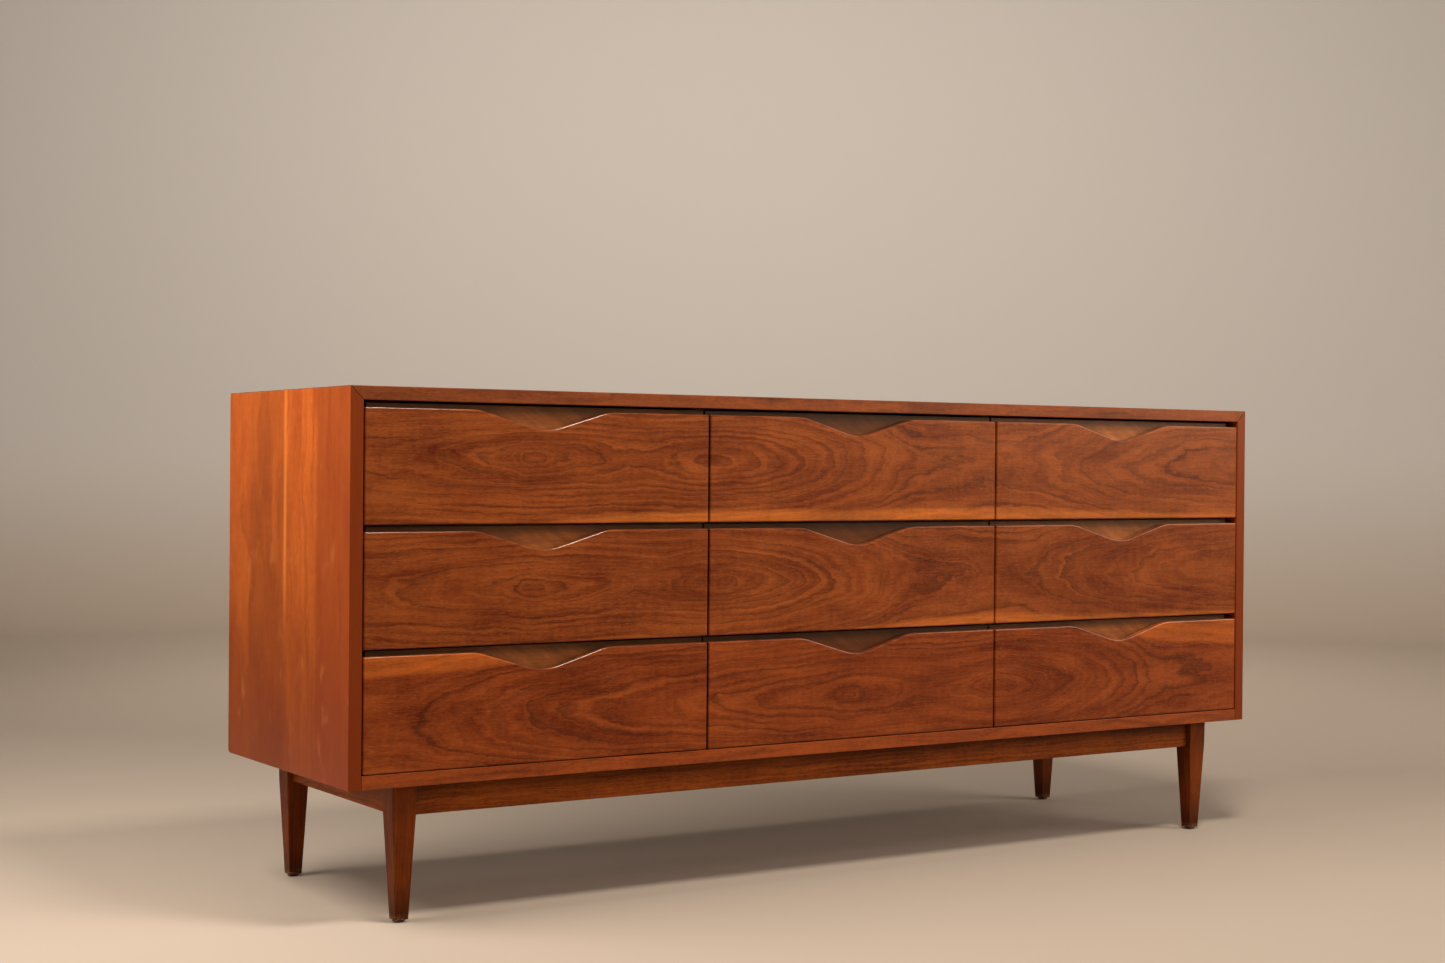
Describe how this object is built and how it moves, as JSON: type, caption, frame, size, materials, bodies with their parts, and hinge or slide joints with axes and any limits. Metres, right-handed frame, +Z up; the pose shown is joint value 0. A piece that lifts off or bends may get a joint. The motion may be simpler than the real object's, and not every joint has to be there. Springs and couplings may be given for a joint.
{
  "type": "dresser with drawers",
  "caption": "Low wide walnut dresser on tapered legs, with columns of wooden drawers that slide out, each opened by a wave-shaped finger cut in its top edge.",
  "frame": {"origin": "on the floor, under the centre of the case", "axes": "+X along the width, to the right of someone who faces the drawers; +Y from the front to the back; +Z up"},
  "size_m": [1.778, 0.482, 0.772],
  "materials": {
    "case_walnut": "satin oiled walnut veneer, orange-brown, fine straight grain",
    "face_walnut": "satin walnut veneer, red-brown, cathedral figure, pale sapwood streaks",
    "base_walnut": "satin solid walnut, dark brown",
    "drawer_wood": "thin lacquer on light hardwood, olive brown",
    "frame_wood": "bare planed softwood and poplar",
    "hardboard": "bare pressed board",
    "glide_metal": "dull dark nickel"
  },
  "bodies": {
    "case": {"top_board": "case_walnut", "side_left": "case_walnut", "side_right": "case_walnut", "bottom_board": "case_walnut", "back_panel": "hardboard", "divider_left": "frame_wood", "divider_right": "frame_wood", "rail_front_middle": "frame_wood", "rail_back_middle": "frame_wood", "rail_front_top": "frame_wood", "rail_back_top": "frame_wood", "runner_bottom_left": "frame_wood", "runner_bottom_centre": "frame_wood", "runner_bottom_right": "frame_wood", "runner_middle_left": "frame_wood", "runner_middle_centre": "frame_wood", "runner_middle_right": "frame_wood", "runner_top_left": "frame_wood", "runner_top_centre": "frame_wood", "runner_top_right": "frame_wood", "leg_front_left": "base_walnut", "glide_front_left": "glide_metal", "leg_front_right": "base_walnut", "glide_front_right": "glide_metal", "leg_back_left": "base_walnut", "glide_back_left": "glide_metal", "leg_back_right": "base_walnut", "glide_back_right": "glide_metal", "apron_front": "base_walnut", "apron_right": "base_walnut", "apron_back": "base_walnut", "apron_left": "base_walnut"},
    "drawer_bottom_left": {"face_bottom_left": "face_walnut", "box_bottom_left": "drawer_wood", "panel_bottom_left": "drawer_wood"},
    "drawer_bottom_centre": {"face_bottom_centre": "face_walnut", "box_bottom_centre": "drawer_wood", "panel_bottom_centre": "drawer_wood"},
    "drawer_bottom_right": {"face_bottom_right": "face_walnut", "box_bottom_right": "drawer_wood", "panel_bottom_right": "drawer_wood"},
    "drawer_middle_left": {"face_middle_left": "face_walnut", "box_middle_left": "drawer_wood", "panel_middle_left": "drawer_wood"},
    "drawer_middle_centre": {"face_middle_centre": "face_walnut", "box_middle_centre": "drawer_wood", "panel_middle_centre": "drawer_wood"},
    "drawer_middle_right": {"face_middle_right": "face_walnut", "box_middle_right": "drawer_wood", "panel_middle_right": "drawer_wood"},
    "drawer_top_left": {"face_top_left": "face_walnut", "box_top_left": "drawer_wood", "panel_top_left": "drawer_wood"},
    "drawer_top_centre": {"face_top_centre": "face_walnut", "box_top_centre": "drawer_wood", "panel_top_centre": "drawer_wood"},
    "drawer_top_right": {"face_top_right": "face_walnut", "box_top_right": "drawer_wood", "panel_top_right": "drawer_wood"}
  },
  "joints": [
    {"name": "slide_bottom_left", "type": "slide", "parent": "case", "child": "drawer_bottom_left", "axis": [0, -1, 0], "range_m": [0, 0.33]},
    {"name": "slide_bottom_centre", "type": "slide", "parent": "case", "child": "drawer_bottom_centre", "axis": [0, -1, 0], "range_m": [0, 0.33]},
    {"name": "slide_bottom_right", "type": "slide", "parent": "case", "child": "drawer_bottom_right", "axis": [0, -1, 0], "range_m": [0, 0.33]},
    {"name": "slide_middle_left", "type": "slide", "parent": "case", "child": "drawer_middle_left", "axis": [0, -1, 0], "range_m": [0, 0.33]},
    {"name": "slide_middle_centre", "type": "slide", "parent": "case", "child": "drawer_middle_centre", "axis": [0, -1, 0], "range_m": [0, 0.33]},
    {"name": "slide_middle_right", "type": "slide", "parent": "case", "child": "drawer_middle_right", "axis": [0, -1, 0], "range_m": [0, 0.33]},
    {"name": "slide_top_left", "type": "slide", "parent": "case", "child": "drawer_top_left", "axis": [0, -1, 0], "range_m": [0, 0.33]},
    {"name": "slide_top_centre", "type": "slide", "parent": "case", "child": "drawer_top_centre", "axis": [0, -1, 0], "range_m": [0, 0.33]},
    {"name": "slide_top_right", "type": "slide", "parent": "case", "child": "drawer_top_right", "axis": [0, -1, 0], "range_m": [0, 0.33]}
  ]
}
